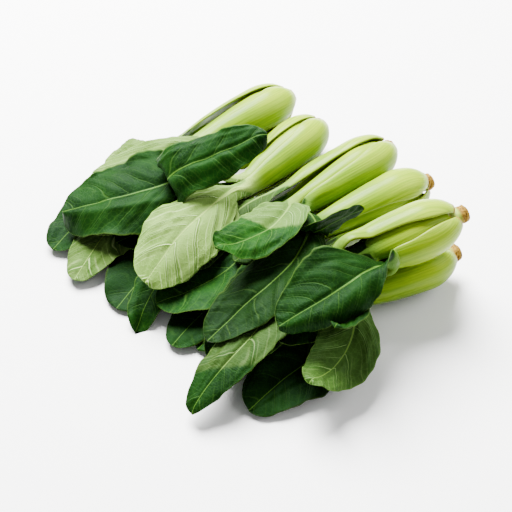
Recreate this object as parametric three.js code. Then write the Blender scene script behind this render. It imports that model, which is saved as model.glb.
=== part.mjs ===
// A bunch of six baby bok choy heads lying side by side on a flat surface, in millimetres, +Z up.
// The bulbs point to +Y and the leaf tips to -Y. Head a is at -X, and head e lies on top of head f at +X.
// Each head is a short stem with eight leaves round it: three outer, three middle and two inner ones.
// A leaf is one piece: a thick hollow-faced stalk that swells into the bulb, then a thin blade.
import * as THREE from "three";

// Driving dimensions.
const BULB_RADIUS = 16; // from a head's axis to the middle of an outer stalk, at the swelling
const BULB_WIDTH = 31; // of an outer stalk, across the swelling
const STALK_EDGE = 1.2; // thickness of a stalk along its two edges
const BLADE_THICKNESS = 0.8;
const USUAL_FLARE = 0.42; // share of a blade's length where it becomes as wide as it gets
const SPREAD_BY = 0.85; // share of a stalk by which its spread is full
const COLUMNS = 6; // facets across a leaf
const SECTION_STEPS = 24; // along half a cross-section, in following its bend
const CURVE_STEPS = 400; // along a leaf's midrib, in measuring it
const GAP = 0.55; // kept between leaves that lie on each other
const HEART_BLADE = [8, 18]; // distances from the neck that a heart leaf's blade lies along
const HEART_SLOPE = 0.14;
const HEART_WIDTH = 6.5;
const BLADE_HOLLOW = 130; // radius to which a blade is hollowed across
const WAVE_HEIGHT = 1.2; // of the waves along a blade's edge
const WAVES = 2.5; // of them along a blade
const LAYING_ROUNDS = 16; // of moving a leaf clear of the others
const MOST_MOVE = 24; // up or down, in laying a leaf
const FOLLOWING = 0.93; // share of its neighbours' move that a point of the leaf makes at least
const SWEEP_SPACING = 1.1; // between the points at which a leaf is tried against the pile
const MOST_SWEEP_STEPS = 60;
const SMALLEST_MOVE = 0.02; // at which the laying of a leaf is done

// The three rings of leaves. first is where a stalk leaves the stem, along the head's axis.
const RINGS = {
  outer: {
    first: 0, length: 84, radius: BULB_RADIUS, base: 7.6, neck: 9.5, width: BULB_WIDTH, thickness: 4.4,
  },
  middle: { first: 5, length: 78, radius: 12.2, base: 5.7, neck: 6.3, width: 25, thickness: 3.8 },
  inner: { first: 9, length: 74, radius: 8.1, base: 4, neck: 3.1, width: 15, thickness: 2.8 },
};

// A stalk from its foot to its neck: swell goes from 0, the foot's or neck's radius, to 1, the bulb's.
const STALK_STATIONS = [
  { at: 0, swell: 0, width: 0.5, thickness: 0.55 },
  { at: 0.07, swell: 0.55, width: 0.78, thickness: 0.8 },
  { at: 0.2, swell: 0.97, width: 0.98, thickness: 1 },
  { at: 0.42, swell: 0.93, width: 0.8, thickness: 0.95 },
  { at: 0.7, swell: 0.55, width: 0.62, thickness: 0.88 },
  { at: 1, swell: 0, width: 0.36, thickness: 0.72 },
];
// Shares of the blade's length, for a flat blade, one bent back over itself, and one in the heart.
const BLADE_STATIONS = [0.1, 0.24, 0.4, 0.56, 0.72, 0.86, 0.96];
const BENT_STATIONS = [0.08, 0.18, 0.27, 0.34, 0.4, 0.46, 0.52, 0.6, 0.7, 0.82, 0.94];
const HEART_STATIONS = [0.35, 0.75];

// The stem's outline, as distances from its axis and along it. That of the cut end is in shares of its radius
// and of the stump's length.
const STEM_RADIUS = 5.4;
const USUAL_STUMP = 3.2; // length left below the leaves
const CUT_OUTLINE = [
  [0, -1],
  [0.72, -1],
  [0.94, -0.85],
  [1, -0.5],
  [1, -0.1],
];
const BUD_OUTLINE = [
  [5.4, 1.5],
  [4.1, 4],
  [3.6, 7],
  [2.2, 10],
  [2, 20],
  [2.3, 34],
  [1.6, 50],
  [0, 60],
];

// The heads.
// foot: the stem's cut end. heading: degrees that the leaf tips turn from -Y to +X. dip: degrees downwards.
// Each leaf: round is its place round the axis in degrees, 0 at +X and 90 on top. stalk is its length inside
// the bundle, reach the bare stalk after that, path the points that the blade lies along, width the blade's.
// spread leads the stalk that far away from the head, turn turns its back by degrees, and flare is the share
// of the blade where it's widest.
// twist turns the blade about its midrib, curl turns its two edges over from curlFrom on, and layer says
// how late it was laid in the pile. A leaf without a path is a short one in the heart of the head.
const HEADS = {
  a: {
    foot: [-98, 124, 17.4],
    heading: -4,
    dip: 0,
    leaves: [
      {
        ring: "outer", round: 45, stalk: 84, width: 56, twist: 45, layer: 21,
        path: [[-102, -25, 24], [-109, -62, 15]],
      },
      {
        ring: "outer", round: 168, stalk: 84, width: 46, twist: -75, spread: 3, layer: 20,
        path: [[-116, 3, 26], [-130, -18, 18]],
      },
      {
        ring: "outer", round: 285, stalk: 84, width: 60, twist: -15, layer: 1,
        path: [[-103, -30, 4], [-98, -72, 3]],
      },
      {
        ring: "middle", round: 105, stalk: 80, width: 40, twist: -15, layer: 19,
        path: [[-98, 10, 20], [-87, -38, 18], [-94, -58, 14]],
      },
      {
        ring: "middle", round: 225, stalk: 78, width: 46, twist: 45, layer: 6,
        path: [[-110, -30, 9], [-110, -58, 7], [-104, -82, 4]],
      },
      {
        ring: "middle", round: 345, stalk: 80, width: 46, twist: 105, layer: 7,
        path: [[-90, -35, 10], [-83, -62, 8], [-73, -88, 4]],
      },
      { ring: "inner", round: 75, stalk: 56, layer: 18 },
      { ring: "inner", round: 255, stalk: 56, layer: 8 },
    ],
  },
  b: {
    foot: [-61, 118, 17.4],
    heading: 5.4,
    dip: 0,
    leaves: [
      {
        ring: "outer", round: 35, stalk: 84, width: 54, twist: 50, flare: 0.6, layer: 34,
        path: [[-38, -5, 33], [-35, -31, 32], [-26, -67, 25]],
      },
      {
        ring: "outer", round: 157, stalk: 56, reach: 24, width: 62, twist: 113, layer: 30,
        path: [[-76, 28, 31], [-74, -4, 33], [-90, -35, 30], [-112, -66, 22]],
      },
      {
        ring: "outer", round: 275, stalk: 84, width: 60, twist: -5, layer: 2,
        path: [[-50, -34, 5], [-44, -62, 4], [-38, -82, 3]],
      },
      {
        ring: "middle", round: 96, stalk: 76, width: 36, twist: -11, layer: 36,
        path: [[-62, 18, 38], [-67, -6, 39], [-70, -14, 43], [-66, -6, 49], [-55, 13, 50], [-37, 45, 46]],
      },
      {
        ring: "middle", round: 215, stalk: 78, width: 52, twist: 55, layer: 9,
        path: [[-64, -10, 12], [-74, -52, 8]],
      },
      {
        ring: "middle", round: 335, stalk: 80, width: 26, twist: 100, layer: 31,
        path: [[-34, 10, 28], [-26, -18, 25], [-24, -40, 20]],
      },
      { ring: "inner", round: 65, stalk: 56, layer: 22 },
      {
        ring: "inner", round: 245, stalk: 80, width: 34, twist: 25, layer: 10,
        path: [[-42, -18, 10], [-31, -54, 6], [-18, -84, 3]],
      },
    ],
  },
  c: {
    foot: [-12.5, 136.5, 17.4],
    heading: -2.7,
    dip: 0,
    leaves: [
      {
        ring: "outer", round: 29, stalk: 84, width: 26, twist: 60, layer: 36,
        path: [[19, 34, 32], [20, 28, 34], [25, 26, 38], [27, 35, 42], [29, 48, 43], [32, 62, 42]],
      },
      {
        ring: "outer", round: 163, stalk: 84, width: 33, twist: -45, spread: 6, turn: -30, layer: 24,
        path: [[-34, 26, 22], [-30, -4, 19], [-19, -34, 16]],
      },
      {
        ring: "outer", round: 278.3, stalk: 84, width: 40, twist: 5, layer: 3,
        path: [[4, -12, 8], [18, -51, 5], [20, -66, 3]],
      },
      {
        ring: "middle", round: 83, stalk: 86, width: 40, twist: 5, layer: 38,
        path: [[-3, 34, 36], [6, 12, 37], [3, -12, 34], [0, -32, 28]],
      },
      {
        ring: "middle", round: 200.6, stalk: 78, width: 54, twist: 66, spread: 5, turn: 8, layer: 12,
        path: [[-5, -5, 8], [-7, -36, 10], [-18, -66, 8]],
      },
      {
        ring: "middle", round: 325, stalk: 80, width: 46, twist: -55, layer: 4,
        path: [[0, -24, 8], [4, -55, 5], [8, -76, 3]],
      },
      { ring: "inner", round: 55, stalk: 56, layer: 25 },
      { ring: "inner", round: 240, stalk: 54, layer: 10 },
    ],
  },
  d: {
    foot: [26.6, 128, 17.4],
    heading: -12,
    stump: 6.5,
    dip: 0,
    leaves: [
      {
        ring: "outer", round: 85, stalk: 84, width: 46, twist: 5, layer: 33,
        path: [[31, 4, 26], [29, -30, 22], [30, -66, 17]],
      },
      {
        ring: "outer", round: 205, stalk: 84, width: 54, twist: 65, layer: 5,
        path: [[14, 0, 9], [20, -48, 5]],
      },
      {
        ring: "outer", round: 325, stalk: 80, width: 34, twist: 125, layer: 18,
        path: [[34, 22, 14], [46, -16, 13], [53, -50, 10]],
      },
      {
        ring: "middle", round: 25, stalk: 82, width: 36, twist: 65, flare: 0.34, layer: 32,
        path: [[33, 6, 24], [48, -49, 20], [52, -90, 14], [56, -101, 6]],
      },
      {
        ring: "middle", round: 145, stalk: 80, width: 28, twist: -55, layer: 23,
        path: [[0, 18, 20], [-3, -14, 16]],
      },
      {
        ring: "middle", round: 265, stalk: 80, width: 56, twist: 5, layer: 13,
        path: [[32, -20, 5], [38, -70, 4]],
      },
      { ring: "inner", round: 55, stalk: 56, layer: 26 },
      { ring: "inner", round: 235, stalk: 56, layer: 14 },
    ],
  },
  e: {
    foot: [80.5, 90, 52.8],
    heading: -17,
    stump: 8.5,
    dip: 4.5,
    leaves: [
      {
        ring: "outer", round: 0, stalk: 50, reach: 4, width: 56, twist: -100, layer: 44,
        curl: [-100, 0], curlFrom: 0.05,
        path: [[82, 37, 50], [77, 22, 52], [74, -4, 49], [62, -39, 38]],
      },
      {
        ring: "outer", round: 126, stalk: 80, width: 30, twist: -40, spread: 2, layer: 42,
        path: [[54, 2, 40], [51, -24, 35]],
      },
      {
        ring: "outer", round: 243, stalk: 84, width: 34, twist: 20, layer: 28,
        path: [[58, -5, 22], [60, -36, 15]],
      },
      { ring: "middle", round: 67, stalk: 56, layer: 33 },
      { ring: "middle", round: 190, stalk: 56, layer: 32 },
      {
        ring: "middle", round: 309, stalk: 74, width: 40, twist: 130, flare: 0.45, layer: 34,
        path: [[78, 8, 28], [91, -10, 15], [96, -48, 4]],
      },
      {
        ring: "inner", round: 40, stalk: 74, width: 26, twist: -110, layer: 43,
        path: [[81, 6, 38], [86, -8, 32], [89, -22, 25]],
      },
      { ring: "inner", round: 220, stalk: 56, layer: 36 },
    ],
  },
  f: {
    foot: [80, 92.5, 16.6],
    heading: -16,
    stump: 7,
    dip: 0,
    size: 0.95,
    leaves: [
      {
        ring: "outer", round: 20, stalk: 74, width: 38, twist: -110, layer: 17,
        path: [[80, 20, 10], [81, -8, 6], [85, -32, 4]],
      },
      {
        ring: "outer", round: 140, stalk: 74, width: 20, twist: -50, layer: 20,
        path: [[62, 2, 16], [60, -16, 12]],
      },
      {
        ring: "outer", round: 260, stalk: 74, width: 48, twist: 10, layer: 13,
        path: [[75, -11, 5], [73, -41, 4], [74, -74, 3]],
      },
      { ring: "middle", round: 80, stalk: 52, layer: 21 },
      {
        ring: "middle", round: 200, stalk: 70, width: 26, twist: 70, layer: 15,
        path: [[59, 0, 8], [56, -28, 5]],
      },
      {
        ring: "middle", round: 320, stalk: 70, width: 34, twist: -50, layer: 14,
        path: [[84, -5, 8], [86, -34, 4]],
      },
      { ring: "inner", round: 50, stalk: 53, layer: 19 },
      { ring: "inner", round: 236, stalk: 51, layer: 16 },
    ],
  },
};

const toRadians = THREE.MathUtils.degToRad;
const lerp = THREE.MathUtils.lerp;
const ease = (x) => THREE.MathUtils.smoothstep(x, 0, 1);

// The frame of a head: along its axis to the tips, to its right, and up.
function headFrame({ foot, heading, dip, size = 1 }) {
  const h = toRadians(heading);
  const p = toRadians(dip);
  const along = new THREE.Vector3(Math.sin(h) * Math.cos(p), -Math.cos(h) * Math.cos(p), -Math.sin(p));
  const right = new THREE.Vector3(Math.cos(h), Math.sin(h), 0);
  const up = new THREE.Vector3().crossVectors(along, right);
  return { foot: new THREE.Vector3(...foot), along, right, up, size };
}

// The direction away from the axis at a place round it, in degrees.
function outwards(frame, round) {
  const angle = toRadians(round);
  const direction = frame.right.clone().multiplyScalar(Math.cos(angle));
  return direction.addScaledVector(frame.up, Math.sin(angle));
}

// How much of its full width a blade has at a share t of its length.
function bladeShare(t, widest) {
  const flare = Math.min(1, (t + 0.02) / widest) ** 0.9;
  const rounding = Math.sqrt(1 - THREE.MathUtils.clamp((t - 0.45) / 0.55, 0, 1) ** 2.2);
  return flare * rounding;
}

// A cross-section: how far each column lies across and inwards, found by following the bend from the rib.
function crossSection(halfWidth, bend, blade) {
  const reachOf = (side, share) => {
    const count = Math.round(SECTION_STEPS * share);
    let across = 0;
    let inwards = 0;
    for (let i = 0; i < count; i++) {
      const v = (i + 0.5) / SECTION_STEPS;
      const turned = ease((v - blade.curlFrom) / (1 - blade.curlFrom));
      const angle = v * halfWidth * bend + blade.curl[side > 0 ? 1 : 0] * turned;
      across += (Math.cos(angle) * halfWidth) / SECTION_STEPS;
      inwards += (Math.sin(angle) * halfWidth) / SECTION_STEPS;
    }
    return [side * across, inwards];
  };
  return Array.from({ length: COLUMNS + 1 }, (_, c) => {
    const v = (2 * c) / COLUMNS - 1;
    return reachOf(Math.sign(v), Math.abs(v));
  });
}

// How a stalk of the usual length is shaped at a share of that length.
function stationAt(share) {
  const after = Math.max(1, STALK_STATIONS.findIndex((station) => station.at >= Math.min(1, share)));
  const [low, high] = [STALK_STATIONS[after - 1], STALK_STATIONS[after]];
  const mix = Math.min(1, (share - low.at) / (high.at - low.at));
  const between = (key) => lerp(low[key], high[key], mix);
  return { swell: between("swell"), width: between("width"), thickness: between("thickness") };
}

function stalkRows(frame, leaf, ring) {
  const size = frame.size;
  return STALK_STATIONS.map(({ at }) => {
    const distance = at * leaf.stalk;
    const station = stationAt(distance / (ring.length * size));
    const end = at < 0.3 ? ring.base : ring.neck;
    const leaning = ease(at / SPREAD_BY);
    const spread = (leaf.spread ?? 0) * leaning;
    const radius = lerp(end, ring.radius, station.swell) * size + spread;
    const point = frame.foot.clone().addScaledVector(frame.along, ring.first * size + distance);
    point.addScaledVector(outwards(frame, leaf.round), radius);
    return {
      point,
      halfWidth: (station.width * ring.width * size) / 2,
      bend: 1 / (radius - spread),
      turned: (leaf.turn ?? 0) * leaning,
      middle: station.thickness * ring.thickness,
      side: STALK_EDGE,
      blade: 0,
    };
  });
}

// Points along the curve after the neck, at the given distances.
function measured(curve, from, distances) {
  const found = [];
  let walked = 0;
  let last = curve.getPoint(from);
  for (let i = 1, k = 0; i <= CURVE_STEPS && k < distances.length; i++) {
    const at = from + ((1 - from) * i) / CURVE_STEPS;
    const next = curve.getPoint(at);
    walked += next.distanceTo(last);
    last = next;
    while (k < distances.length && walked >= distances[k] - 1e-6) {
      found.push(at);
      k++;
    }
  }
  while (found.length < distances.length) {
    found.push(1);
  }
  return found;
}

function lengthFrom(curve, from) {
  let total = 0;
  let last = curve.getPoint(from);
  for (let i = 1; i <= CURVE_STEPS; i++) {
    const next = curve.getPoint(from + ((1 - from) * i) / CURVE_STEPS);
    total += next.distanceTo(last);
    last = next;
  }
  return total;
}

// Where the short blade of a heart leaf lies, drawing in towards the axis from its neck.
function heartPath(frame, leaf, neck) {
  return HEART_BLADE.map((distance) => {
    const point = neck.clone().addScaledVector(frame.along, distance * frame.size);
    return point.addScaledVector(outwards(frame, leaf.round), -HEART_SLOPE * distance);
  });
}

function leafRows(frame, leaf) {
  const ring = RINGS[leaf.ring];
  const rows = stalkRows(frame, leaf, ring);
  const neck = rows[rows.length - 1];
  const path = leaf.path?.map((p) => new THREE.Vector3(...p)) ?? heartPath(frame, leaf, neck.point);
  const curve = new THREE.CatmullRomCurve3([...rows.map((r) => r.point), ...path], false, "centripetal");
  const knots = rows.length + path.length - 1;
  const neckAt = (rows.length - 1) / knots;
  const reach = leaf.reach ?? 0;
  const blade = lengthFrom(curve, neckAt) - reach;
  rows.forEach((row, i) => (row.at = i / knots));
  const bare = reach ? [reach / 2, reach] : [];
  const stations = leaf.path ? (path.length > 4 ? BENT_STATIONS : BLADE_STATIONS) : HEART_STATIONS;
  const distances = [...bare, ...stations.map((t) => reach + t * blade)];
  measured(curve, neckAt, distances).forEach((at, i) => {
    const t = (distances[i] - reach) / blade;
    const inBlade = Math.max(0, t);
    const full = (leaf.width ?? HEART_WIDTH) / 2;
    const spread = Math.max(neck.halfWidth, full * bladeShare(inBlade, leaf.flare ?? USUAL_FLARE));
    rows.push({
      point: curve.getPoint(at),
      at,
      halfWidth: t > 0 ? spread : neck.halfWidth,
      bend: lerp(1 / ring.neck, leaf.path ? 1 / BLADE_HOLLOW : 1 / ring.neck, ease(inBlade / 0.2)),
      middle: lerp(neck.middle, 1, ease(inBlade * 0.7 + (t > 0 ? 0.2 : 0))),
      side: t > 0 ? BLADE_THICKNESS : STALK_EDGE,
      blade: t > 0 ? t : 0.001,
    });
  });
  rows.tip = curve.getPoint(1);
  const facing = outwards(frame, leaf.round);
  let before = null;
  for (const row of rows) {
    const tangent = curve.getTangent(Math.min(row.at, 0.9999));
    if (row.blade && before) {
      facing.applyQuaternion(new THREE.Quaternion().setFromUnitVectors(before.tangent, tangent));
      const turned = ease(row.blade / 0.45) - ease(before.blade / 0.45);
      facing.applyAxisAngle(tangent, toRadians(leaf.twist ?? 0) * turned);
    } else facing.copy(outwards(frame, leaf.round + (row.turned ?? leaf.turn ?? 0)));
    facing.addScaledVector(tangent, -facing.dot(tangent)).normalize();
    row.tangent = tangent;
    row.facing = facing.clone();
    before = row;
    shapeRow(row, leaf);
  }
  return rows;
}

// Places a row's points: across the leaf, hollowed towards the head's axis, with waves along a blade's edge.
function shapeRow(row, leaf) {
  const grown = ease(row.blade / 0.3);
  const [left, right] = leaf.curl ?? [0, 0];
  const section = crossSection(row.halfWidth, row.bend, {
    curl: [toRadians(left) * grown, toRadians(right) * grown],
    curlFrom: leaf.curlFrom ?? 0.3,
  });
  const across = new THREE.Vector3().crossVectors(row.facing, row.tangent);
  const height = WAVE_HEIGHT * ease(row.blade / 0.25);
  row.points = section.map(([x, inwards], c) => {
    const v = (2 * c) / COLUMNS - 1;
    const phase = 2 * Math.PI * WAVES * row.blade + (v > 0 ? 2.1 : 0) + leaf.layer;
    const wave = height * Math.abs(v) ** 1.6 * Math.sin(phase);
    return row.point.clone().addScaledVector(across, x).addScaledVector(row.facing, wave - inwards);
  });
  row.halves = section.map((_, c) => {
    const v = (2 * c) / COLUMNS - 1;
    if (row.blade > 0.001) return (c === COLUMNS / 2 ? row.middle : row.side) / 2;
    return lerp(row.side, row.middle, 1 - v * v) / 2;
  });
}

// The closed solid round a middle surface: a ring of points for each row, and a point at each end.
function leafShell(rows) {
  const across = COLUMNS + 1;
  const rings = rows.map((row, r) => {
    const before = rows[Math.max(0, r - 1)].points;
    const after = rows[Math.min(rows.length - 1, r + 1)].points;
    const faces = row.points.map((p, c) => {
      const lengthwise = after[c].clone().sub(before[c]);
      const sideways = row.points[Math.min(COLUMNS, c + 1)].clone().sub(row.points[Math.max(0, c - 1)]);
      return new THREE.Vector3().crossVectors(lengthwise, sideways).normalize();
    });
    const outer = row.points.map((p, c) => p.clone().addScaledVector(faces[c], row.halves[c]));
    const inner = row.points.map((p, c) => p.clone().addScaledVector(faces[c], -row.halves[c]));
    return [...outer, ...inner.reverse()];
  });
  const size = 2 * across;
  const points = rings.flat();
  const foot = points.length;
  const footPoint = rings[0].reduce((sum, p) => sum.add(p), new THREE.Vector3()).divideScalar(size);
  points.push(footPoint, rows.tip.clone());
  const triangles = [];
  for (let r = 0; r < rings.length - 1; r++) {
    for (let k = 0; k < size; k++) {
      const [a, b] = [r * size + k, r * size + ((k + 1) % size)];
      const [c, d] = [a + size, b + size];
      // The same diagonal on both faces, so that a waved blade stays as thick as it is.
      if (k < across) triangles.push([a, d, b], [a, c, d]);
      else triangles.push([a, c, b], [b, c, d]);
    }
  }
  const last = (rings.length - 1) * size;
  for (let k = 0; k < size; k++) {
    triangles.push([foot, k, (k + 1) % size]);
    triangles.push([foot + 1, last + ((k + 1) % size), last + k]);
  }
  return { points, triangles, size };
}

// A map of heights over the surface, with cells of a millimetre.
class HeightMap {
  constructor(start) {
    this.half = 150;
    this.count = 2 * this.half;
    this.heights = new Float64Array(this.count * this.count).fill(start);
  }
  cellAt(x, y) {
    const i = THREE.MathUtils.clamp(Math.floor(x + this.half), 1, this.count - 2);
    const j = THREE.MathUtils.clamp(Math.floor(y + this.half), 1, this.count - 2);
    return j * this.count + i;
  }
  at(x, y) {
    return this.heights[this.cellAt(x, y)];
  }
  // Takes a height into a cell and the four round it, so that leaves stay clear sideways too.
  take(x, y, z, choose) {
    const cell = this.cellAt(x, y);
    for (const near of [cell, cell - 1, cell + 1, cell - this.count, cell + this.count])
      this.heights[near] = choose(this.heights[near], z);
  }
  copy() {
    const other = new HeightMap(0);
    other.heights.set(this.heights);
    return other;
  }
}

// Calls back with points about a millimetre apart on a shell's triangles, and their shares of the corners.
function sweep(shell, visit) {
  for (const triangle of shell.triangles) {
    const [a, b, c] = triangle.map((i) => shell.points[i]);
    const longest = Math.max(a.distanceTo(b), b.distanceTo(c), c.distanceTo(a));
    const steps = Math.min(MOST_SWEEP_STEPS, Math.max(1, Math.ceil(longest / SWEEP_SPACING)));
    for (let i = 0; i <= steps; i++)
      for (let j = 0; j <= steps - i; j++) {
        const shares = [1 - (i + j) / steps, i / steps, j / steps];
        const [x, y, z] = ["x", "y", "z"].map((k) => a[k] * shares[0] + b[k] * shares[1] + c[k] * shares[2]);
        visit(x, y, z, triangle, shares);
      }
  }
}

// Lays a leaf between the leaves below it and the stalks above it: what would sink into them is moved clear,
// and its surroundings most of the way with it.
function settle(rows, below, above) {
  const across = COLUMNS + 1;
  const firstFree = rows.findIndex((row) => row.blade > 0);
  const start = rows.map((row) => row.points.map((p) => p.z));
  const tipStart = rows.tip.z;
  const moved = rows.map(() => new Float64Array(across));
  for (let round = 0; round < LAYING_ROUNDS; round++) {
    const { lift, drop } = collisions(rows, below, above, firstFree);
    let most = 0;
    for (let r = firstFree; r < rows.length; r++)
      for (let c = 0; c < across; c++) {
        const change = lift[r][c] > 0 ? lift[r][c] : -drop[r][c];
        moved[r][c] = THREE.MathUtils.clamp(moved[r][c] + change, -MOST_MOVE, MOST_MOVE);
        most = Math.max(most, Math.abs(change));
      }
    for (let pass = 0; pass < 4; pass++) follow(moved, firstFree);
    for (let r = firstFree; r < rows.length; r++) {
      rows[r].points.forEach((p, c) => (p.z = start[r][c] + moved[r][c]));
    }
    rows.tip.z = tipStart + moved[rows.length - 1][COLUMNS / 2];
    if (most < SMALLEST_MOVE) break;
  }
}

// How far each point of a leaf has to go up or down to be clear.
function collisions(rows, below, above, firstFree) {
  const across = COLUMNS + 1;
  const shell = leafShell(rows);
  const lift = rows.map(() => new Float64Array(across));
  const drop = rows.map(() => new Float64Array(across));
  const end = rows.length * shell.size;
  const rowOf = (index) => Math.min(rows.length - 1, Math.floor(index / shell.size));
  const note = (map, amount, triangle, shares) => {
    const freeShare = (index, corner) => (rowOf(index) < firstFree ? 0 : shares[corner]);
    const free = triangle.reduce((sum, index, corner) => sum + freeShare(index, corner), 0);
    if (free < 0.6) return;
    triangle.forEach((index, corner) => {
      const r = rowOf(index);
      if (r < firstFree || shares[corner] < 0.3) return;
      const k = index % shell.size;
      const columns = index >= end ? [...Array(across).keys()] : [k < across ? k : shell.size - 1 - k];
      const part = amount * Math.min(1, shares[corner] * 1.5);
      for (const c of columns) map[r][c] = Math.max(map[r][c], part);
    });
  };
  sweep(shell, (x, y, z, triangle, shares) => {
    const floor = below.at(x, y);
    const short = floor + (floor > 0 ? GAP : 0) - z;
    if (short > 0) note(lift, short, triangle, shares);
    const over = z - (above.at(x, y) - GAP);
    if (over > 0) note(drop, over, triangle, shares);
  });
  return { lift, drop };
}

// Draws the points of a leaf after their neighbours that have moved further.
function follow(moved, firstFree) {
  const before = moved.map((line) => line.slice());
  const at = (r, c) => {
    const line = before[Math.min(before.length - 1, Math.max(0, r))];
    return line[Math.min(COLUMNS, Math.max(0, c))];
  };
  for (let r = firstFree; r < moved.length; r++)
    for (let c = 0; c <= COLUMNS; c++) {
      const pull = (FOLLOWING * (at(r - 1, c) + at(r + 1, c) + at(r, c - 1) + at(r, c + 1))) / 4;
      if (Math.abs(pull) > Math.abs(moved[r][c])) moved[r][c] = pull;
    }
}

// The short stem that the leaves grow from, with the bud in its middle.
function stemGeometry(frame, stump = USUAL_STUMP) {
  const cut = CUT_OUTLINE.map(([r, y]) => new THREE.Vector2(r * STEM_RADIUS, y * stump));
  const profile = [...cut, ...BUD_OUTLINE.map(([r, y]) => new THREE.Vector2(r, y))];
  const geometry = new THREE.LatheGeometry(profile, 12);
  const axes = new THREE.Matrix4().makeBasis(frame.right.clone().negate(), frame.along, frame.up);
  return geometry.applyMatrix4(axes.setPosition(frame.foot));
}

function shellGeometry(shell) {
  const position = new Float32Array(shell.points.flatMap((p) => [p.x, p.y, Math.max(0, p.z)]));
  const geometry = new THREE.BufferGeometry();
  geometry.setAttribute("position", new THREE.BufferAttribute(position, 3));
  geometry.setIndex(shell.triangles.flat());
  geometry.computeVertexNormals();
  return geometry;
}

const LEAF_COLOUR = "#3c7a35";
const STEM_COLOUR = "#a9c45a";

function namedMesh(name, geometry, color) {
  const material = new THREE.MeshStandardMaterial({ color, roughness: 0.45, metalness: 0 });
  const mesh = new THREE.Mesh(geometry, material);
  mesh.name = name;
  return mesh;
}

// The bunch: the leaves are laid one after another, each on those before it.
function buildBunch() {
  const bunch = new THREE.Group();
  bunch.name = "baby_bok_choy_bunch";
  const laid = [];
  for (const [letter, head] of Object.entries(HEADS)) {
    const frame = headFrame(head);
    head.leaves.forEach((leaf, i) => {
      const name = `head_${letter}_leaf_${i + 1}`;
      laid.push({ name, leaf, inHeart: !leaf.path, rows: leafRows(frame, leaf) });
    });
    bunch.add(namedMesh(`head_${letter}_stem`, stemGeometry(frame, head.stump), STEM_COLOUR));
  }
  laid.sort((one, other) => one.leaf.layer - other.leaf.layer);
  // From the last leaf to the first: the undersides of the stalks that come to lie above each one.
  const stalksAbove = new HeightMap(Infinity);
  for (const item of laid.toReversed()) {
    item.above = stalksAbove.copy();
    const stalk = item.rows.filter((row) => row.blade === 0 || item.inHeart);
    stalk.tip = stalk[stalk.length - 1].point;
    sweep(leafShell(stalk), (x, y, z) => stalksAbove.take(x, y, z, Math.min));
  }
  const pile = new HeightMap(0);
  for (const { name, inHeart, rows, above } of laid) {
    if (!inHeart) settle(rows, pile, above);
    const shell = leafShell(rows);
    sweep(shell, (x, y, z) => pile.take(x, y, z, Math.max));
    bunch.add(namedMesh(name, shellGeometry(shell), LEAF_COLOUR));
  }
  const box = new THREE.Box3().setFromObject(bunch, true);
  const centre = box.getCenter(new THREE.Vector3());
  bunch.children.forEach((mesh) => mesh.geometry.translate(-centre.x, -centre.y, -box.min.z));
  return bunch;
}

export default buildBunch();
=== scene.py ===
import math
import bpy
import numpy as np
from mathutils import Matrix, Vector


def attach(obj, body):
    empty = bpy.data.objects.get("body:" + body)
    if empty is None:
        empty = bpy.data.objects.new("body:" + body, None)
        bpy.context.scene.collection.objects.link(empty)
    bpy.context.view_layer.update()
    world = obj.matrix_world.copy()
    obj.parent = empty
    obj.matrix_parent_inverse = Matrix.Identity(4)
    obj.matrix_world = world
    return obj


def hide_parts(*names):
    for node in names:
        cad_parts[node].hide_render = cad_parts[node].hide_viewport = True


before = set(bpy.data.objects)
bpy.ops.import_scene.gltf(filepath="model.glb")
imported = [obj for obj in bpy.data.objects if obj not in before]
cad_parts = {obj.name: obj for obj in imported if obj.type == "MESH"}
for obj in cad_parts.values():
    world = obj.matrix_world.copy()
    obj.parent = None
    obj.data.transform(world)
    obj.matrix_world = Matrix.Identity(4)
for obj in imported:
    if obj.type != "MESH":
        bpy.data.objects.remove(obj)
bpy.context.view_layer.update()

# Sizes are in millimetres where nothing else is said, and the scene is in metres.
MM = 0.001
HEADS = "abcdef"
LEAVES_A_HEAD = 8

# The view: degrees round from the -Y side and up, the angle of the lens, and distances in metres.
VIEW_ROUND = 47
VIEW_UP = 48
VIEW_DISTANCE = 0.72
VIEW_ANGLE = 25
VIEW_TARGET = Vector((14.3, -19.9, 22)) * MM
NEAREST = 0.01

# The floor and the lights, also in metres.
FLOOR_REACH = 3.0
FLOOR_Z = -0.0002
WORLD_STRENGTH = 0.38
LAMPS = {
    "key": {"place": (-0.8, 0.35, 1.1), "size": 1.0, "power": 225},
    "fill": {"place": (0.7, 0.9, 0.9), "size": 1.2, "power": 16},
}

# A leaf's solid is a tube of rings of points: seven across its underside, then seven back across its
# upper face. The first rings are the stalk's, and a leaf with a bare stretch above them has two more.
COLUMNS = 7
RING = 2 * COLUMNS
STALK_ROWS = 6
BARE_ROWS = 2
ROWS_WITH_BARE = 15

# The distance between the points of a leaf that the view shows well, and of the other leaves.
FINE_STEP = 1.4
PLAIN_STEP = 2.2
FINE = {
    "a": (1, 2, 4, 5, 6),
    "b": (1, 2, 4, 5, 6),
    "c": (1, 2, 4, 5),
    "d": (1, 3, 4, 6),
    "e": (1, 2, 6, 7),
    "f": (1, 3),
}

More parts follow.
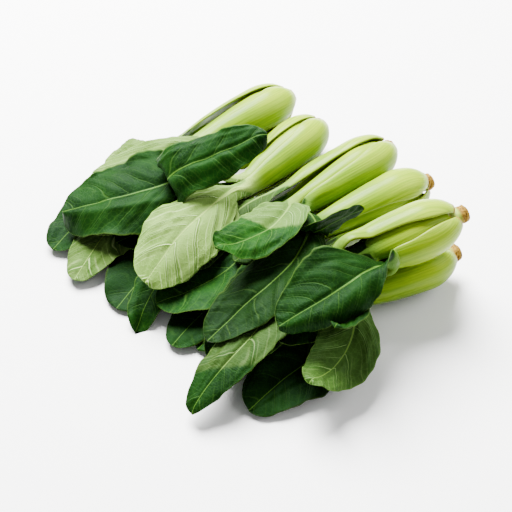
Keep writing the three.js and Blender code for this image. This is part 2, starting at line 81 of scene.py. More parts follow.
# How pale a leaf is below, from 0 as its upper face to 1, how bright the leaf is, and how far the two
# halves of its blade billow up.
USUAL_LOOK = (0.03, 0.7, 0.3)
LOOKS = {
    "a": {
        1: (0.95, 1.0, 0.5),
        2: (0.9, 1.0, 0.5),
        4: (0.6, 0.9, 0.3),
        5: (0.02, 0.7, 0.8),
        6: (0.6, 1.0, 1.2),
    },
    "b": {
        1: (1.0, 1.3, 3.4),
        2: (0.0, 0.8, 3.6),
        3: (0.0, 0.5, 1.2),
        4: (0.7, 0.95, 2.6),
        5: (0.1, 0.8, 0.3),
        6: (0.85, 1.0, 0.5),
        8: (0.1, 1.0, 0.4),
    },
    "c": {
        1: (0.05, 0.8, 0.8),
        2: (0.3, 0.8, 0.3),
        4: (0.42, 1.5, 3.4),
        5: (0.02, 1.2, 0.8),
        6: (0.02, 0.7, 0.3),
    },
    "d": {
        1: (0.03, 0.5, 2.0),
        3: (0.1, 0.9, 0.3),
        4: (0.28, 0.75, 2.0),
        5: (0.1, 0.7, 0.3),
        6: (0.02, 0.7, 0.3),
    },
    "e": {
        1: (0.0, 0.7, 3.4),
        3: (0.1, 0.9, 0.3),
        6: (0.2, 1.3, 1.6),
        7: (0.1, 0.8, 0.5),
    },
    "f": {
        1: (0.1, 0.9, 0.3),
        3: (0.0, 0.5, 1.2),
    },
}
# Leaves whose tip shows the dark upper face, with the share of the blade where it begins.
DARK_TIPS = {
    "head_b_leaf_4": 0.56,
    "head_c_leaf_4": 0.55,
    "head_d_leaf_4": 0.8,
}
NO_DARK_TIP = 2.0
TIP_BLUR = 0.02
# Leaves with one half that hangs: its side, and about how far its margin comes down.
HANGING = {
    "head_b_leaf_1": (1, 4),
    "head_b_leaf_2": (-1, 9),
    "head_b_leaf_4": (1, 7),
    "head_e_leaf_1": (-1, 4),
}
NOT_HANGING = (1, 0)
# A leaf's seed is a number from 0 to 1 that shifts its waves and its textures against the other leaves'.
SEED_STEP = 0.37
TEXTURE_SHIFT = 90

# The veins and the midrib of a leaf. A pair for the veins is for a leaf that is dark below and a pale one.
# The pair for the midrib is for the foot and the tip of the blade.
VEINS_A_BLADE = 6.5
VEIN_STEEPNESS = (0.75, 1.1)
VEIN_BEND = 0.02
VEIN_WIDTH = 0.07
VEIN_HEIGHT = (0.18, 0.9)
RIB_AT_TIP = 0.25
RIB_AT_NECK = 1.2
NECK_FADES_BY = 0.07
RIB_HEIGHT = (1.4, 0.2)
OVER_STALK = 1.6

# The blade: half its thickness at the midrib and at the margin, the share of its length by which its
# relief is full, and the shapes that its skin takes.
HALF_BLADE = (0.34, 0.16)
GROWN_BY = 0.22
PUFF_HEIGHT = 0.42
CREASES = 4
CREASE_HEIGHT = 0.9
CREASE_WIDTH = 0.08
MARGIN_WAVE = 0.6
MARGIN_RAGS = 0.4
MARGIN_LIFT = 0.7

# The stem: how finely it's rounded, and the depths from its cut end between which it turns smooth.
STEM_LEVELS = 2
SMOOTH_FROM = 9
ROUGH_UP_TO = 3


def smooth(x, low=0.0, high=1.0):
    """A smooth step from 0 at low to 1 at high."""
    t = np.clip((np.asarray(x, float) - low) / (high - low), 0, 1)
    return t * t * (3 - 2 * t)


def mix(a, b, share):
    """The value at that share of the way from a to b."""
    return a + (b - a) * share


def unit(vectors):
    """The vectors with a length of 1."""
    return vectors / np.maximum(np.linalg.norm(vectors, axis=-1, keepdims=True), 1e-12)


def wave(height, place, length, start):
    """A wave along the places. It takes 2 pi lengths for one turn."""
    return height * np.sin(place / length + start)


# Reading a leaf back from its solid.

def welded(node):
    """The points and the triangles of a node, with the points that touch made one."""
    mesh = node.data
    mesh.calc_loop_triangles()
    points = np.empty(3 * len(mesh.vertices))
    mesh.vertices.foreach_get("co", points)
    triangles = np.empty(3 * len(mesh.loop_triangles), int)
    mesh.loop_triangles.foreach_get("vertices", triangles)
    kept, index = np.unique(np.round(points.reshape(-1, 3), 6), axis=0, return_inverse=True)
    triangles = index.ravel()[triangles].reshape(-1, 3)
    whole = (triangles != np.roll(triangles, 1, axis=1)).all(1)
    return kept / MM, triangles[whole]


def neighbours(points, triangles):
    """For each point, the points that it shares a triangle with."""
    near = [set() for _ in points]
    for a, b, c in triangles:
        near[a] |= {b, c}
        near[b] |= {a, c}
        near[c] |= {a, b}
    return near


def second_on_first_ring(triangles, foot, first):
    """The point after the first one on the ring nearest the foot, so that all rings run the same way."""
    for triangle in triangles:
        if foot in triangle and first in triangle:
            after = int(triangle[(list(triangle).index(first) + 1) % 3])
            if after != foot:
                return after


def leaf_grid(node):
    """The two faces of a leaf's solid, as rows of points from its foot to its tip, and the tip."""
    points, triangles = welded(node)
    near = neighbours(points, triangles)
    poles = [i for i, others in enumerate(near) if len(others) == RING]
    foot, tip = sorted(poles, key=lambda i: -points[i][1])
    seen = {foot}
    rows = [{foot}]
    while len(seen) < len(points):
        rows.append({j for i in rows[-1] for j in near[i] if j not in seen})
        seen |= rows[-1]
    rows = rows[1:-1]
    rings = []
    for r, row in enumerate(rows):
        last = r == len(rows) - 1
        other = rows[r - 1] if last else rows[r + 1]
        first = next(i for i in row if len(near[i] & other) == (1 if last else 3))
        if rings:
            second = next(i for i in near[first] & row if i in near[rings[-1][1]])
        else:
            second = second_on_first_ring(triangles, foot, first)
        ring = [first, second]
        while len(ring) < RING:
            ring.append(next(i for i in near[ring[-1]] & row if i not in ring[-2:]))
        rings.append(ring)
    grid = points[np.array(rings)]
    return grid[:, :COLUMNS], grid[:, :COLUMNS - 1:-1], points[tip]


# A fine surface for a leaf.

def hermite(knots, values, at):
    """Values at the given places, on a smooth curve through the values at the knots."""
    knots = np.asarray(knots, float)
    steps = np.diff(knots).reshape(-1, *[1] * (values.ndim - 1))
    slopes = np.diff(values, axis=0) / steps
    tangents = np.empty_like(values)
    tangents[1:-1] = (slopes[:-1] * steps[1:] + slopes[1:] * steps[:-1]) / (steps[:-1] + steps[1:])
    tangents[0] = 1.5 * slopes[0] - 0.5 * tangents[1]
    tangents[-1] = 1.5 * slopes[-1] - 0.5 * tangents[-2]
    i = np.clip(np.searchsorted(knots, at, side="right") - 1, 0, len(knots) - 2)
    h = (knots[i + 1] - knots[i]).reshape(-1, *[1] * (values.ndim - 1))
    s = ((at - knots[i]) / (knots[i + 1] - knots[i])).reshape(h.shape)
    from_start = (1 + 2 * s) * (1 - s) ** 2 * values[i] + s * (1 - s) ** 2 * h * tangents[i]
    from_end = s * s * (3 - 2 * s) * values[i + 1] + s * s * (s - 1) * h * tangents[i + 1]
    return from_start + from_end


def eased(middle, start):
    """The middle surface with the sharpest dents of its blade drawn level, across and along."""
    middle = middle.copy()
    strength = 0.6
    for _ in range(2):
        across = middle.copy()
        across[:, 1:-1] = 0.5 * middle[:, 1:-1] + 0.25 * (middle[:, :-2] + middle[:, 2:])
        along = across.copy()
        along[1:-1] = 0.6 * across[1:-1] + 0.2 * (across[:-2] + across[2:])
        share = strength * smooth(np.arange(len(middle)), start - 1, start + 1)
        middle = mix(middle, along, share[:, None, None])
    return middle


class Leaf:
    """The smooth middle surface of a leaf: fine rows from its foot to its tip, and fine columns across.

    Each point has its place: x across from the midrib, y along from the blade's foot, t the share of the
    blade, 0 on the stalk, side -1 or 1, and edge from 0 at the midrib to 1 at the margin. v runs across
    from -1 to 1, and grown rises to 1 where the blade's relief is full.
    """

    NARROWEST_ROW = 0.4
    TIP_LEFT_OUT = 0.02
    FEWEST_COLUMNS = 6
    THINNEST = 0.2

    def __init__(self, node, step):
        outer, inner, self.tip = leaf_grid(node)
        middle = (outer + inner) / 2
        half = np.linalg.norm(outer - inner, axis=2) / 2
        start = STALK_ROWS - 1 + (BARE_ROWS if len(middle) == ROWS_WITH_BARE else 0)
        walk = np.linalg.norm(np.diff(np.vstack([middle[:, COLUMNS // 2], self.tip]), axis=0), axis=1)
        length = np.concatenate([[0], np.cumsum(walk)])
        self.stalk_length = length[start]
        self.blade_length = length[-1] - length[start]
        middle = eased(middle, start)
        self.neck = np.linalg.norm(np.diff(middle[STALK_ROWS - 1], axis=0), axis=1).sum() / 2
        knots = self.find_knots(length)
        at = self.find_rows(knots[-1], step)
        # Beyond the tip the leaf is mirrored, so that its surface passes smoothly over it.
        tip_row = np.repeat(self.tip[None], COLUMNS, axis=0)[None]
        whole = np.concatenate([middle, tip_row, middle[-1:, ::-1], middle[-2:-1, ::-1]])
        thin_row = np.full((1, COLUMNS), half[-1].min())
        thick = np.concatenate([half, thin_row, half[-1:], half[-2:-1]])
        knots = np.concatenate([knots, [2 * knots[-1] - knots[-2], 2 * knots[-1] - knots[-3]]])
        self.add_columns(hermite(knots, whole, at), hermite(knots, thick, at), step)
        self.find_places(at)
        self.normals = self.find_normals(outer - inner)

    def find_knots(self, length):
        """Where the solid's rows are. Towards the tip they are counted by the square root of what is left
        of the blade, so that the tip comes out round."""
        share = np.clip((length - self.stalk_length) / self.blade_length, 0, 1)
        in_blade = self.stalk_length + 2 * self.blade_length * (1 - np.sqrt(1 - share))
        return np.where(share > 0, in_blade, length)

    def left(self, at):
        """The square root of the share of the blade that is left, and 1 on the stalk."""
        return 1 - np.maximum(0, at - self.stalk_length) / (2 * self.blade_length)

    def find_rows(self, tip_at, step):
        """The places of the fine rows, about a step apart on the surface."""
        places = [0.0]
        place = 0.0
        end = tip_at - self.TIP_LEFT_OUT * self.blade_length
        while place < end:
            place += step / max(self.NARROWEST_ROW, self.left(place))
            places.append(min(place, end))
        return np.array(places)

    def add_columns(self, coarse, coarse_half, step):
        """The points of the fine rows and columns, and half the solid's thickness there."""
        width = np.linalg.norm(np.diff(coarse, axis=1), axis=2).sum(1).max()
        count = 2 * max(self.FEWEST_COLUMNS, math.ceil(width / step / 2)) + 1
        self.v = np.linspace(-1, 1, count)
        columns = np.linspace(-1, 1, COLUMNS)
        self.points = hermite(columns, coarse.transpose(1, 0, 2), self.v).transpose(1, 0, 2)
        self.half = np.maximum(self.THINNEST, hermite(columns, coarse_half.T, self.v).T)

    def find_places(self, at):
        shape = self.points.shape[:2]
        share = np.where(at > self.stalk_length, 1 - self.left(at) ** 2, 0)
        along = np.where(at > self.stalk_length, share * self.blade_length, at - self.stalk_length)
        across = np.linalg.norm(np.diff(self.points, axis=1), axis=2)
        across = np.concatenate([np.zeros((len(at), 1)), np.cumsum(across, axis=1)], axis=1)
        self.width = across[:, -1] / 2
        self.x = across - across[:, len(self.v) // 2, None]
        self.y = np.broadcast_to(along[:, None], shape)
        self.t = np.broadcast_to(share[:, None], shape)
        self.side = np.broadcast_to(np.sign(self.v), shape)
        self.edge = np.broadcast_to(np.abs(self.v), shape)
        self.grown = smooth(self.t, 0.0, GROWN_BY)

    def find_normals(self, apart):
        """The directions out of the underside. The ones in apart lead there from the upper face."""
        along = np.gradient(self.points, axis=0)
        across = np.gradient(self.points, axis=1)
        normals = unit(np.cross(across, along))
        if (normals[0].mean(0) * apart[0].mean(0)).sum() < 0:
            normals = -normals
        return normals


# The shape of a leaf on that surface.

def vein_phase(leaf, steep, seed):
    """Counts the side veins along the leaf. A vein runs where the count is whole, in an arc to the margin."""
    x = leaf.x
    start = leaf.y - steep * np.abs(x) - VEIN_BEND * x * x
    phase = start * VEINS_A_BLADE / leaf.blade_length
    phase += wave(0.2, start, 8.5, 40 * seed + 1.7 * np.sign(x)) + wave(0.12, start, 4.1, 90 * seed)
    phase += wave(0.08, x, 4, leaf.y / 17 + 70 * seed)
    # The veins of the two sides don't start opposite each other.
    return phase + 0.3 * np.tanh(x / 0.4) + seed


def find_rib(leaf):
    """Half the width of the midrib: wide at the neck, narrow towards the tip, and all of the stalk."""
    at_neck = (leaf.neck - RIB_AT_NECK) * np.exp(-leaf.t / NECK_FADES_BY)
    rib = RIB_AT_TIP + RIB_AT_NECK * (1 - leaf.t) ** 2 + at_neck
    return np.where(leaf.y < 0, OVER_STALK * leaf.width[:, None], rib)


def ridge(phase, width):
    """1 on a vein, and 0 away from it."""
    away = np.abs(phase - np.round(phase))
    return np.exp(-(away / width) ** 2)


def creases(leaf, seed):
    """Long creases, up and down by turns."""
    height = np.zeros(leaf.t.shape)
    in_blade = smooth(leaf.t, 0.1, 0.4) * (1 - leaf.t ** 4)
    for k in range(CREASES):
        line = 0.8 * np.sin(50 * seed + 2.1 * k) + 0.5 * (leaf.t - 0.5) * np.sin(90 * seed + k)
        height += (-1) ** k * np.exp(-((leaf.v[None] - line) / CREASE_WIDTH) ** 2) * in_blade
    return CREASE_HEIGHT * height


def relief(leaf, pale, seed, phase, rib):
    """How far the skin is pushed out of the underside, and half the thickness."""
    y, t, side, edge, grown = leaf.y, leaf.t, leaf.side, leaf.edge, leaf.grown
    rib_form = np.exp(-(leaf.x / np.maximum(0.8 * rib, 0.8)) ** 2)
    raised = rib_form * mix(*RIB_HEIGHT, t ** 0.6) / 2
    vein_form = ridge(phase, VEIN_WIDTH) * grown * (1 - 0.75 * edge) * (1 - rib_form)
    stalk_half = leaf.half * mix(1, 0.75, edge ** 8)
    blade_half = mix(*HALF_BLADE, edge ** 6) + raised + 0.08 * vein_form
    half = mix(stalk_half, blade_half, smooth(t, 0, 0.16))
    shift = mix(*VEIN_HEIGHT, pale) * vein_form + raised * grown
    # The skin is puffed between the veins, and its margin waves.
    puffed = np.cos(2 * np.pi * phase) * smooth(edge, 0.05, 0.3) * (1 - 0.5 * edge)
    shift += PUFF_HEIGHT * puffed * grown
    shift += creases(leaf, seed) * (1 - rib_form)
    waves = wave(1.3, y, 5.3, 3 * side + 13 * seed) + wave(0.6, y, 2.3, 5 * side + 31 * seed)
    shift += MARGIN_WAVE * waves * grown * edge ** 4
    return shift, half


def uneven_margin(leaf, seed):
    """How far the margin goes out and in."""
    y, side = leaf.y, leaf.side
    rags = wave(1.0, y, 3.1, side + 9 * seed) + wave(0.8, y, 1.4, 4 * side)
    rags += wave(1.6, y, 9.5, 5 * side + 50 * seed)
    across = unit(np.gradient(leaf.points, axis=1))
    reach = MARGIN_RAGS * rags * leaf.grown * leaf.edge ** 6 * (1 - leaf.t ** 6)
    return across * (side * reach)[..., None]


def rumple(x, y):
    """The crumpling of the pile as a height. Leaves that lie on each other share it."""
    broad = 0.5 * np.sin(x / 8.7 + 0.9 * np.sin(y / 16)) * np.sin(y / 19 + 0.8)
    narrow = 0.26 * np.sin((x + 0.35 * y) / 3.3 + 1.7 * np.sin(y / 9 + 1))
    return broad + narrow + 0.18 * np.sin(y / 4.7 + 1.2 * np.sin(x / 7.7))


def heights(leaf, middle, billow, hanging, seed):
    """The heights of the blade once its halves billow and hang, and the pile has crumpled it."""
    t, side, edge = leaf.t, leaf.side, leaf.edge
    z = middle[..., 2] + billow * np.sin(np.pi * edge ** 0.8) * smooth(t, 0.05, 0.3) * (1 - t ** 5)
    lifted = 0.5 + wave(0.5, leaf.y, 7.3, 2.5 * side + 60 * seed)
    z += MARGIN_LIFT * billow * lifted * edge ** 5 * smooth(t, 0.1, 0.3)
    hanging_side, drop = hanging
    z -= drop * (side == hanging_side) * smooth(edge, 0.1, 1.1) * smooth(t, 0.1, 0.4)
    off_floor = smooth(z, 0.3, 2.5)
    return z + rumple(middle[..., 0], middle[..., 1]) * off_floor * smooth(t, 0.05, 0.35)


def signed_volume(points, quads):
    """A number below 0 where the faces look inwards."""
    a, b, c = (points[quads[:, i]] for i in range(3))
    return (a * np.cross(b, c)).sum()


def ring_mesh(name, rings, tip):
    """A closed mesh over the rings, with one more point at the foot and one at the tip."""
    n, size = rings.shape[:2]
    points = np.concatenate([rings.reshape(-1, 3), rings[0].mean(0)[None], tip[None]]) * MM
    row = np.arange(n - 1)[:, None] * size
    first = row + np.arange(size)[None]
    after = row + (np.arange(size)[None] + 1) % size
    quads = np.stack([first, after, after + size, first + size], axis=-1).reshape(-1, 4)
    foot_at, tip_at = n * size, n * size + 1
    last = (n - 1) * size
    faces = [tuple(int(i) for i in quad) for quad in quads]
    faces += [(foot_at, (k + 1) % size, k) for k in range(size)]
    faces += [(tip_at, last + k, last + (k + 1) % size) for k in range(size)]
    mesh = bpy.data.meshes.new(name)
    mesh.from_pydata([tuple(point) for point in points], [], faces)
    mesh.polygons.foreach_set("use_smooth", [True] * len(mesh.polygons))
    if signed_volume(points, quads) < 0:
        mesh.flip_normals()
    return mesh


def both(field):
    """A field over the underside's columns, and back over the upper face's."""
    return np.concatenate([field, field[:, ::-1]], axis=1)


def store(mesh, name, *fields):
    """Keeps three fields over the points as one attribute."""
    values = np.stack(fields, axis=-1)
    attribute = mesh.attributes.new(name, "FLOAT_VECTOR", "POINT")
    attribute.data.foreach_set("vector", values.astype(np.float32).ravel())


def store_on_rings(mesh, name, *fields):
    """Keeps three fields over the rings. The points at the foot and the tip repeat their neighbours."""
    flat = [np.asarray(field, float).ravel() for field in fields]
    store(mesh, name, *[np.concatenate([values, values[:1], values[-1:]]) for values in flat])


def build_leaf(name, node, step, seed, look):
    """A leaf as a piece: its shape, and the fields that its paint reads."""
    pale, bright, billow = look
    leaf = Leaf(node, step)
    phase = vein_phase(leaf, mix(*VEIN_STEEPNESS, pale), seed)
    rib = find_rib(leaf)
    shift, half = relief(leaf, pale, seed, phase, rib)
    middle = leaf.points + leaf.normals * shift[..., None] + uneven_margin(leaf, seed)
    middle[..., 2] = heights(leaf, middle, billow, HANGING.get(node.name, NOT_HANGING), seed)
    outer = middle + leaf.normals * half[..., None]
    inner = middle - leaf.normals * half[..., None]
    rings = np.concatenate([outer, inner[:, ::-1]], axis=1)
    rings[..., 2] = np.maximum(rings[..., 2], 0)
    mesh = ring_mesh(name, rings, leaf.tip)
    # The underside is pale up to where the tip is dark.
    paleness = np.concatenate([np.full(half.shape, pale), np.zeros(half.shape)], axis=1)
    fold = DARK_TIPS.get(node.name, NO_DARK_TIP)
    across = 0.1 * both(leaf.x) / leaf.width.max()
    paleness *= 1 - smooth(both(leaf.t) + across, fold, fold + TIP_BLUR)
    brightness = np.full(paleness.shape, bright)
    shifted = np.full(paleness.shape, TEXTURE_SHIFT * seed)
    store_on_rings(mesh, "leaf_place", both(leaf.x), both(leaf.y), both(leaf.edge))
    store_on_rings(mesh, "leaf_look", paleness, both(rib), both(phase))
    store_on_rings(mesh, "leaf_tint", brightness, both(leaf.y + leaf.stalk_length), shifted)
    piece = bpy.data.objects.new(name, mesh)
    bpy.context.scene.collection.objects.link(piece)
    return piece


# Materials.

class Paint:
    """A material whose nodes are made one call at a time."""

    def __init__(self, name):
        self.material = bpy.data.materials.new(name)
        self.material.use_nodes = True
        self.nodes = self.material.node_tree.nodes
        self.links = self.material.node_tree.links
        self.shader = self.nodes["Principled BSDF"]

    def put(self, socket, value):
        if isinstance(value, bpy.types.NodeSocket):
            self.links.new(value, socket)
        else:
            socket.default_value = value

    def new(self, kind, inputs=None, **settings):
        node = self.nodes.new("ShaderNode" + kind)
        for key, value in settings.items():
            setattr(node, key, value)
        for key, value in (inputs or {}).items():
            self.put(node.inputs[key], value)
        return node

    def math(self, operation, *values):
        node = self.new("Math", operation=operation)
        for i, value in enumerate(values):
            self.put(node.inputs[i], value)
        return node.outputs[0]

    def times(self, a, b):
        return self.math("MULTIPLY", a, b)

    def rise(self, value, low, high, to_low=0.0, to_high=1.0):
        """A smooth step between two values."""
        ends = {"From Min": low, "From Max": high, "To Min": to_low, "To Max": to_high}
        node = self.new("MapRange", {"Value": value, **ends}, interpolation_type="SMOOTHSTEP")
        return node.outputs[0]

    def fall(self, value, low, high, from_height=1.0):
        """A smooth step down to 0."""
        return self.rise(value, low, high, from_height, 0.0)

    def mix(self, share, a, b, blend="MIX"):
        node = self.new("Mix", data_type="RGBA", blend_type=blend)
        self.put(node.inputs[0], share)
        self.put(node.inputs[6], a)
        self.put(node.inputs[7], b)
        return node.outputs[2]

    def blend(self, share, a, b):
        node = self.new("Mix", data_type="FLOAT")
        self.put(node.inputs[0], share)
        self.put(node.inputs[2], a)
        self.put(node.inputs[3], b)
        return node.outputs[0]

    def attribute(self, name):
        vector = self.new("Attribute", attribute_name=name).outputs["Vector"]
        return vector, self.new("SeparateXYZ", {"Vector": vector}).outputs

    def noise(self, vector, scale, detail=3.0, roughness=0.5):
        inputs = {"Vector": vector, "Scale": scale, "Detail": detail, "Roughness": roughness}
        return self.new("TexNoise", inputs).outputs["Fac"]

    def cells(self, vector, scale):
        """The distance to the nearest border between cells."""
        inputs = {"Vector": vector, "Scale": scale}
        return self.new("TexVoronoi", inputs, feature="DISTANCE_TO_EDGE").outputs["Distance"]

    def added(self, a, b):
        return self.new("VectorMath", {0: a, 1: b}, operation="ADD").outputs[0]

    def scaled(self, vector, x, y, z):
        return self.new("VectorMath", {0: vector, 1: (x, y, z)}, operation="MULTIPLY").outputs[0]

    def in_metres(self):
        return self.new("TexCoord").outputs["Object"]

    def set(self, name, value):
        self.put(self.shader.inputs[name], value)

    def bump(self, height, strength, distance):
        node = self.new("Bump", {"Height": height, "Strength": strength, "Distance": distance * MM})
        self.set("Normal", node.outputs["Normal"])


def rgb(red, green, blue):
    """A colour given in the screen's 0 to 255, as the shader's linear values."""
    def linear(value):
        value /= 255
        return value / 12.92 if value <= 0.04045 else ((value + 0.055) / 1.055) ** 2.4
    return (linear(red), linear(green), linear(blue), 1.0)


# Colours. A pair is the darker and the lighter colour of a patchy or streaky surface.

# The upper face.
ABOVE = (rgb(5, 27, 3), rgb(14, 46, 7))
ABOVE_NET = rgb(34, 68, 16)
ABOVE_VEINS = rgb(60, 94, 34)
ABOVE_RIB = rgb(62, 94, 30)
# The underside.
BELOW = (rgb(76, 104, 40), rgb(96, 122, 58))
BELOW_SMALL_NET = rgb(62, 90, 30)
BELOW_NET = rgb(112, 138, 72)
PAINTED_SHADE_BY_VEINS = rgb(48, 78, 20)
# Painted shade in the grooves beside the underside's raised veins.
BELOW_VEINS = rgb(166, 190, 122)
BELOW_RIB = rgb(136, 162, 80)
MARGIN = rgb(96, 128, 50)
SHINING_THROUGH = rgb(96, 140, 10)
# The stalk.
STALK = (rgb(84, 116, 1), rgb(110, 140, 3))
BULB = (rgb(110, 139, 5), rgb(134, 158, 15))
# Painted shade: the stalk's colour close to the floor.
PAINTED_SHADE_NEAR_FLOOR = rgb(56, 88, 0)
STALK_EDGE = rgb(138, 160, 44)
SCAR = rgb(120, 84, 36)
# The stem.
CUT = (rgb(86, 60, 10), rgb(136, 106, 30))
CUT_DOTS = rgb(34, 20, 4)
BUD = (rgb(140, 168, 50), rgb(168, 188, 90))
# The floor.
FLOOR = (rgb(244, 244, 243), rgb(248, 248, 247))


class LeafPaint(Paint):
    """The paint of all leaves, led by what each leaf's mesh says about its points."""

    def __init__(self):
        super().__init__("bok_choy_leaf")
        place, (x, y, self.edge) = self.attribute("leaf_place")
        _, (self.pale, rib_width, self.phase) = self.attribute("leaf_look")
        _, (self.bright, self.from_foot, shifted) = self.attribute("leaf_tint")
        self.spot = self.added(place, self.new("CombineXYZ", {"Z": shifted}).outputs[0])
        share = self.math("DIVIDE", self.math("ABSOLUTE", x), rib_width)
        self.rib = self.fall(share, 0.5, 1.0)
        self.stalk = self.fall(y, -16.0, 6.0)
        self.in_blade = self.math("SUBTRACT", 1.0, self.stalk)
        self.patches = self.rise(self.noise(self.spot, 0.05, detail=4.0), 0.3, 0.7)
        self.find_veins()
        self.find_nets()

    def find_veins(self):
        """The side veins, and finer ones between them."""
        wobble = self.math("MULTIPLY_ADD", self.noise(self.spot, 0.11), 0.16, self.phase)
        self.vein_away = self.math("PINGPONG", wobble, 0.5)
        width = self.rise(self.edge, 0.0, 1.0, 0.045, 0.016)
        side_vein = self.fall(self.vein_away, 0.004, width)
        side_vein = self.times(side_vein, self.rise(self.edge, 0.6, 1.0, 1.0, 0.15))
        between = self.math("PINGPONG", self.math("MULTIPLY_ADD", wobble, 3.0, 0.5), 0.5)
        strength = self.rise(self.edge, 0.1, 0.5, 0.0, 0.35)
        between = self.times(self.fall(between, 0.02, 0.1), strength)
        self.vein = self.times(self.math("MAXIMUM", side_vein, between), self.in_blade)

    def find_nets(self):
        """The net between the veins, and a smaller one within it."""
        bend = self.new("TexNoise", {"Vector": self.spot, "Scale": 0.3}).outputs["Color"]
        bent = self.added(self.spot, bend)
        self.net = self.times(self.fall(self.cells(bent, 0.34), 0.0, 0.09), self.in_blade)
        self.small_net = self.times(self.fall(self.cells(bent, 1.1), 0.0, 0.14), self.in_blade)

    def blade(self):
        above = self.mix(self.patches, *ABOVE)
        above = self.mix(self.times(self.net, 0.3), above, ABOVE_NET)
        above = self.mix(self.times(self.vein, 0.4), above, ABOVE_VEINS)
        below = self.mix(self.patches, *BELOW)
        below = self.mix(self.times(self.small_net, 0.25), below, BELOW_SMALL_NET)
        below = self.mix(self.times(self.net, 0.3), below, BELOW_NET)
        # Painted shade: the underside darkens beside each vein.
        vein_shade_mask = self.fall(self.vein_away, 0.02, 0.16, from_height=0.75)
        below = self.mix(self.times(vein_shade_mask, self.in_blade), below, PAINTED_SHADE_BY_VEINS)
        below = self.mix(self.times(self.vein, 0.85), below, BELOW_VEINS)
        blade = self.mix(self.pale, above, below)
        blade = self.mix(self.rise(self.edge, 0.95, 1.0, 0.0, 0.3), blade, MARGIN)
        grey = self.new("CombineXYZ", {0: self.bright, 1: self.bright, 2: self.bright}).outputs[0]
        return self.mix(1.0, blade, grey, "MULTIPLY")

    def flesh(self):
        """Pale at the bulb, yellow-green above it, with long streaks, and darker near the floor as painted
        shade.
        """
        streaks = self.noise(self.scaled(self.spot, 0.8, 0.02, 0.0), 1.0, detail=4.0, roughness=0.6)
        streaks = self.rise(streaks, 0.35, 0.65)
        above_bulb = self.rise(self.from_foot, 22.0, 52.0)
        flesh = self.mix(above_bulb, self.mix(streaks, *BULB), self.mix(streaks, *STALK))
        height = self.new("SeparateXYZ", {"Vector": self.in_metres()}).outputs["Z"]
        # Painted shade: the stalk darkens towards the floor.
        flesh = self.mix(self.fall(height, 0.004, 0.03, from_height=0.75), flesh, PAINTED_SHADE_NEAR_FLOOR)
        flesh = self.mix(self.times(self.rise(self.edge, 0.82, 1.0), 0.5), flesh, STALK_EDGE)
        return self.mix(self.times(self.fall(self.from_foot, 0.8, 2.2), 0.8), flesh, SCAR)

    def colour(self):
        rib = self.mix(self.stalk, self.mix(self.pale, ABOVE_RIB, BELOW_RIB), self.flesh())
        return self.mix(self.rib, self.blade(), rib)

    def add_gloss(self):
        """The blade shines dully and green, and the stalks are waxy."""
        rough = self.blend(self.pale, self.blend(self.patches, 0.46, 0.52), 0.6)
        self.set("Roughness", self.blend(self.rib, rough, 0.35))
        self.set("Specular IOR Level", 0.05)
        self.set("Specular Tint", (0.35, 0.9, 0.4, 1.0))
        self.set("Coat Weight", self.times(self.times(self.rib, self.stalk), 0.13))
        self.set("Coat Roughness", 0.24)

    def add_relief(self):
        """The veins and nets stand out below and are sunk above. Stalks are ribbed and blades wrinkled."""
        lines = self.times(self.vein, 0.4)
        lines = self.math("ADD", lines, self.times(self.net, 0.14))
        lines = self.math("ADD", lines, self.times(self.small_net, 0.06))
        lines = self.times(lines, self.rise(self.pale, 0.0, 1.0, -1.0, 2.2))
        ribs = self.noise(self.scaled(self.spot, 1.3, 0.015, 0.0), 1.0, detail=2.0)
        height = self.math("MULTIPLY_ADD", self.times(ribs, self.rib), 0.5, lines)
        wrinkles = self.noise(self.scaled(self.spot, 0.22, 1.0, 0.0), 1.0, roughness=0.6)
        height = self.math("MULTIPLY_ADD", self.times(wrinkles, self.in_blade), 0.8, height)
        self.bump(height, strength=0.8, distance=0.5)

    def let_light_through(self, colour):
        through = self.new("BsdfTranslucent", {"Color": self.mix(0.15, colour, SHINING_THROUGH)})
        both_ways = self.new("MixShader")
        self.put(both_ways.inputs[0], self.blend(self.rib, 0.12, 0.05))
        self.put(both_ways.inputs[1], self.shader.outputs[0])
        self.put(both_ways.inputs[2], through.outputs[0])
        self.put(self.nodes["Material Output"].inputs["Surface"], both_ways.outputs[0])


def leaf_material():
    paint = LeafPaint()
    colour = paint.colour()
    paint.set("Base Color", colour)
    paint.add_gloss()
    paint.add_relief()
    paint.let_light_through(colour)
    return paint.material


def stem_material():
    """Tan and dotted at the cut end, and green above it."""
    paint = Paint("bok_choy_stem")
    spot = paint.in_metres()
    _, (depth, _, _) = paint.attribute("stem_place")
    cut = paint.fall(depth, 5.0, 8.0)
    grain = paint.noise(spot, 700.0, detail=4.0)
    tan = paint.mix(paint.rise(grain, 0.35, 0.65), *CUT)
    cells = paint.new("TexVoronoi", {"Vector": spot, "Scale": 620.0}).outputs["Distance"]
    tan = paint.mix(paint.times(paint.fall(cells, 0.12, 0.3), 0.9), tan, CUT_DOTS)
    flesh = paint.mix(paint.rise(paint.noise(spot, 260.0), 0.3, 0.7), *BUD)
    paint.set("Base Color", paint.mix(cut, flesh, tan))
    paint.set("Roughness", paint.blend(cut, 0.4, 0.75))
    paint.set("Specular IOR Level", 0.1)
    paint.bump(grain, strength=0.5, distance=0.6)
    return paint.material


def floor_material():
    paint = Paint("pale_floor")
    tone = paint.noise(paint.in_metres(), 3.0, detail=2.0)
    paint.set("Base Color", paint.mix(tone, *FLOOR))
    paint.set("Roughness", paint.blend(tone, 0.75, 0.85))
    return paint.material


# The pieces.

def rounded(piece):
    """Gives the piece a finer, rounder mesh, and returns its points."""
    modifier = piece.modifiers.new("round", "SUBSURF")
    modifier.levels = STEM_LEVELS
    modifier.render_levels = STEM_LEVELS
    bpy.context.view_layer.update()
    done = piece.evaluated_get(bpy.context.evaluated_depsgraph_get())
    piece.data = bpy.data.meshes.new_from_object(done)
    piece.modifiers.clear()
    points = np.empty(3 * len(piece.data.vertices))
    piece.data.vertices.foreach_get("co", points)
    return points.reshape(-1, 3) / MM


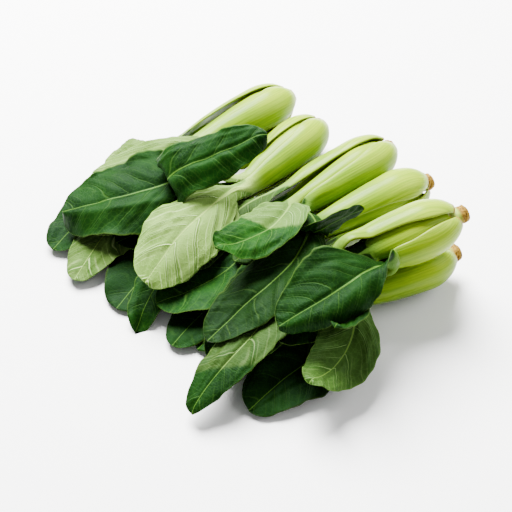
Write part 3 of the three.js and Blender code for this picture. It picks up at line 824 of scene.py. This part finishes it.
def build_stem(name, node):
    """The stem on its solid's own points, rounded, with a rough cut end that spreads a little."""
    solid, triangles = welded(node)
    mesh = bpy.data.meshes.new(name)
    faces = [tuple(int(i) for i in triangle) for triangle in triangles]
    mesh.from_pydata([tuple(point * MM) for point in solid], [], faces)
    piece = bpy.data.objects.new(name, mesh)
    bpy.context.scene.collection.objects.link(piece)
    points = rounded(piece)
    # The axis points from the cut end to the bud.
    centre = solid.mean(0)
    _, _, directions = np.linalg.svd(solid - centre, full_matrices=False)
    axis = -directions[0] * np.sign(directions[0][1])
    along = (points - centre) @ axis
    depth = along - along.min()
    turn = np.arctan2(points[:, 2] - centre[2], points[:, 0] - centre[0])
    rough = np.sin(5 * turn + depth) + 0.7 * np.sin(9 * turn + 2.1 * depth)
    rough += 0.6 * np.sin(2.6 * depth + 2 * turn)
    spread = (0.1 + 0.05 * rough) * smooth(depth, SMOOTH_FROM, ROUGH_UP_TO)
    out = points - centre - along[:, None] * axis
    points += out * spread[:, None]
    piece.data.vertices.foreach_set("co", (points * MM).ravel())
    piece.data.update()
    store(piece.data, "stem_place", depth, np.zeros(len(depth)), np.zeros(len(depth)))
    piece.data.polygons.foreach_set("use_smooth", [True] * len(piece.data.polygons))
    return piece


leaf_paint = leaf_material()
stem_paint = stem_material()
for h, letter in enumerate(HEADS):
    for number in range(1, LEAVES_A_HEAD + 1):
        node = f"head_{letter}_leaf_{number}"
        step = FINE_STEP if number in FINE[letter] else PLAIN_STEP
        seed = (h * LEAVES_A_HEAD + number) * SEED_STEP % 1
        look = LOOKS[letter].get(number, USUAL_LOOK)
        piece = build_leaf(f"leaf_{letter}_{number}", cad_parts[node], step, seed, look)
        piece.data.materials.append(leaf_paint)
        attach(piece, "root")
        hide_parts(node)
    node = f"head_{letter}_stem"
    piece = build_stem(f"stem_{letter}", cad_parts[node])
    piece.data.materials.clear()
    piece.data.materials.append(stem_paint)
    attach(piece, "root")
    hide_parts(node)


# The floor, the light and the camera.

def add_floor():
    corners = [(x * FLOOR_REACH, y * FLOOR_REACH, 0) for x, y in ((-1, -1), (1, -1), (1, 1), (-1, 1))]
    mesh = bpy.data.meshes.new("floor")
    mesh.from_pydata(corners, [], [(0, 1, 2, 3)])
    mesh.materials.append(floor_material())
    floor = bpy.data.objects.new("floor", mesh)
    floor.location.z = FLOOR_Z
    bpy.context.scene.collection.objects.link(floor)


def add_lamp(name, place, size, power):
    light = bpy.data.lights.new(name, "AREA")
    light.shape = "DISK"
    light.size = size
    light.energy = power
    lamp = bpy.data.objects.new(name, light)
    lamp.location = place
    lamp.rotation_euler = (VIEW_TARGET - Vector(place)).to_track_quat("-Z", "Y").to_euler()
    bpy.context.scene.collection.objects.link(lamp)


def add_world():
    world = bpy.data.worlds.new("studio")
    world.use_nodes = True
    background = world.node_tree.nodes["Background"]
    background.inputs["Color"].default_value = (1, 1, 1, 1)
    background.inputs["Strength"].default_value = WORLD_STRENGTH
    bpy.context.scene.world = world


def add_camera():
    turn = math.radians(VIEW_ROUND)
    up = math.radians(VIEW_UP)
    back = Vector((math.sin(turn) * math.cos(up), -math.cos(turn) * math.cos(up), math.sin(up)))
    data = bpy.data.cameras.new("camera")
    data.sensor_fit = "HORIZONTAL"
    data.angle = math.radians(VIEW_ANGLE)
    data.clip_start = NEAREST
    camera = bpy.data.objects.new("camera", data)
    camera.location = VIEW_TARGET + back * VIEW_DISTANCE
    camera.rotation_euler = (-back).to_track_quat("-Z", "Y").to_euler()
    bpy.context.scene.collection.objects.link(camera)
    bpy.context.scene.camera = camera


add_floor()
add_world()
for name, lamp in LAMPS.items():
    add_lamp(name, **lamp)
add_camera()
